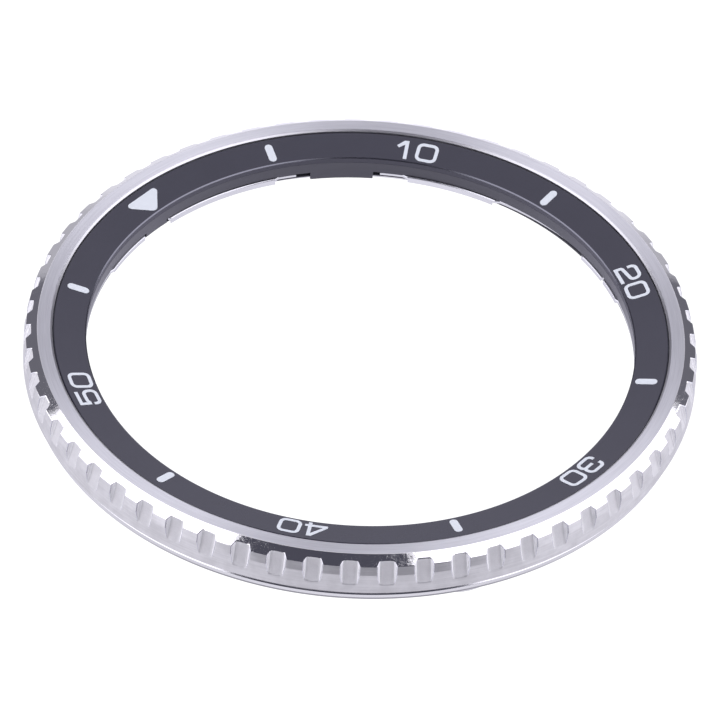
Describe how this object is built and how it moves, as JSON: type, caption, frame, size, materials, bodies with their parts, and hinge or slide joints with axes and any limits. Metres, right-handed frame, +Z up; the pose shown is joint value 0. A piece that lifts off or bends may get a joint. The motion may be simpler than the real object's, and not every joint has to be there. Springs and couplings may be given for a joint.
{
  "type": "rotating watch bezel",
  "caption": "Rotating elapsed-time bezel for a diver's watch, with notched grip ring, numbered insert and click work on a base ring.",
  "frame": {"origin": "centre of the plane through the three lug tips that the unit stands on, on the axis of rotation", "axes": "+Z up along the axis of rotation, towards the dial side; +Y towards the zero marker; the case lies on the -Z side"},
  "size_m": [0.04, 0.04, 0.0033],
  "materials": {
    "bezel_steel": "rim's top brushed in circles, bevel polished, wall and notches satin",
    "insert_black": "black anodised, lacquered to a gloss",
    "adhesive": "cured film",
    "mark_fill": "white filled engraving",
    "sleeve_polymer": "matte charcoal",
    "spring_steel": "bright rolled spring strip",
    "ratchet_steel": "hardened, satin",
    "base_steel": "polished stainless steel",
    "seal_rubber": "black, slightly matte"
  },
  "bodies": {
    "base": {"base_ring": "base_steel", "gasket": "seal_rubber", "click_spring": "spring_steel", "spring_rivets": "ratchet_steel"},
    "bezel": {"bezel_ring": "bezel_steel", "insert": "insert_black", "insert_adhesive": "adhesive", "triangle_marker": "mark_fill", "numeral_10": "mark_fill", "numeral_20": "mark_fill", "numeral_30": "mark_fill", "numeral_40": "mark_fill", "numeral_50": "mark_fill", "minute_bar_05": "mark_fill", "minute_bar_15": "mark_fill", "minute_bar_25": "mark_fill", "minute_bar_35": "mark_fill", "minute_bar_45": "mark_fill", "minute_bar_55": "mark_fill", "inner_sleeve": "sleeve_polymer", "retaining_spring": "spring_steel", "ratchet_ring": "ratchet_steel"},
    "leaf_1": {"click_leaf_1": "spring_steel"},
    "leaf_2": {"click_leaf_2": "spring_steel"},
    "leaf_3": {"click_leaf_3": "spring_steel"}
  },
  "joints": [
    {"name": "bezel_turn", "type": "hinge", "parent": "base", "child": "bezel", "pos_m": [0, 0, 0], "axis": [0, 0, 1], "continuous": true},
    {"name": "leaf_1_flex", "type": "hinge", "parent": "base", "child": "leaf_1", "pos_m": [0.01323, 0.01289, 0.00065], "axis": [-0.616, -0.7877, 0], "range_deg": [0, 2.2], "stiffness_Nm_per_rad": 0.0078},
    {"name": "leaf_2_flex", "type": "hinge", "parent": "base", "child": "leaf_2", "pos_m": [-0.01778, 0.00501, 0.00065], "axis": [0.9902, -0.1396, 0], "range_deg": [0, 2.2], "stiffness_Nm_per_rad": 0.0078},
    {"name": "leaf_3_flex", "type": "hinge", "parent": "base", "child": "leaf_3", "pos_m": [0.00455, -0.0179, 0.00065], "axis": [-0.3742, 0.9274, 0], "range_deg": [0, 2.2], "stiffness_Nm_per_rad": 0.0078}
  ]
}
